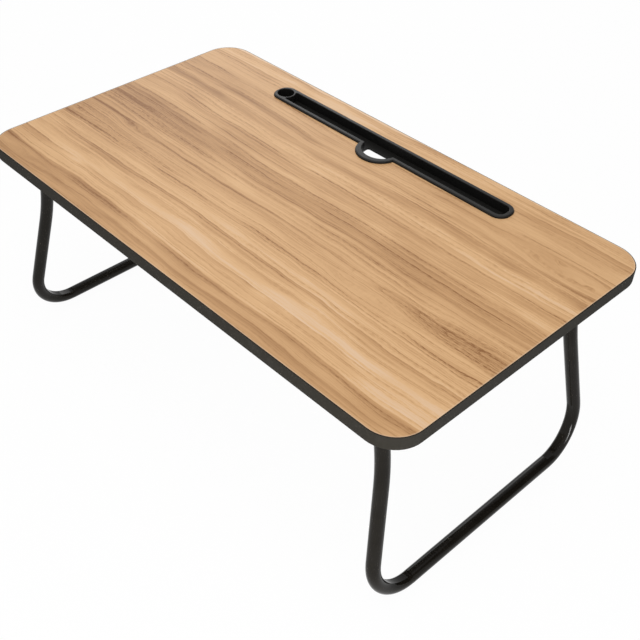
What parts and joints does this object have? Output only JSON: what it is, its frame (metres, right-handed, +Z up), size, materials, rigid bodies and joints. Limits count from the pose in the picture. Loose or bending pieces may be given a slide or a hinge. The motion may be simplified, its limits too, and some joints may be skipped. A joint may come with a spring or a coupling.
{
  "type": "folding laptop table",
  "caption": "Low lap table: a wood-grain board with rounded corners, a black tray for a tablet, pen and cable let into it, and bent-tube legs that fold flat under the board.",
  "frame": {"origin": "on the floor, under the middle of the board", "axes": "+X to the right along the board's long side, +Y to the back where the tray is, +Z up"},
  "size_m": [0.6, 0.35, 0.2524],
  "materials": {
    "fibreboard": "raw fibreboard",
    "wood_laminate": "satin printed wood grain",
    "backing_laminate": "matt paper backing",
    "edge_plastic": "satin",
    "tray_plastic": "satin moulded",
    "black_tube": "gloss powder coat",
    "black_sheet": "satin powder coat",
    "plug_plastic": "moulded",
    "washer_plastic": "moulded",
    "zinc_steel": "zinc plated"
  },
  "bodies": {
    "table_top": {"core_board": "fibreboard", "top_laminate": "wood_laminate", "underside_laminate": "backing_laminate", "edge_band": "edge_plastic", "tablet_tray": "tray_plastic", "right_front_bracket": "black_sheet", "right_back_bracket": "black_sheet", "left_front_bracket": "black_sheet", "left_back_bracket": "black_sheet", "right_front_hinge_rivet": "zinc_steel", "right_back_hinge_rivet": "zinc_steel", "left_front_hinge_rivet": "zinc_steel", "left_back_hinge_rivet": "zinc_steel", "right_front_stop_rivet": "zinc_steel", "right_back_stop_rivet": "zinc_steel", "left_front_stop_rivet": "zinc_steel", "left_back_stop_rivet": "zinc_steel", "hinge_washers": "washer_plastic", "bracket_screws": "zinc_steel"},
    "right_leg": {"right_leg_tube": "black_tube", "right_front_end_plug": "plug_plastic", "right_back_end_plug": "plug_plastic"},
    "left_leg": {"left_leg_tube": "black_tube", "left_front_end_plug": "plug_plastic", "left_back_end_plug": "plug_plastic"}
  },
  "joints": [
    {"name": "right_leg_fold", "type": "hinge", "parent": "table_top", "child": "right_leg", "pos_m": [0.2497, 0, 0.2235], "axis": [0, 1, 0], "range_deg": [0, 100]},
    {"name": "left_leg_fold", "type": "hinge", "parent": "table_top", "child": "left_leg", "pos_m": [-0.2497, 0, 0.2235], "axis": [0, -1, 0], "range_deg": [0, 100]}
  ]
}
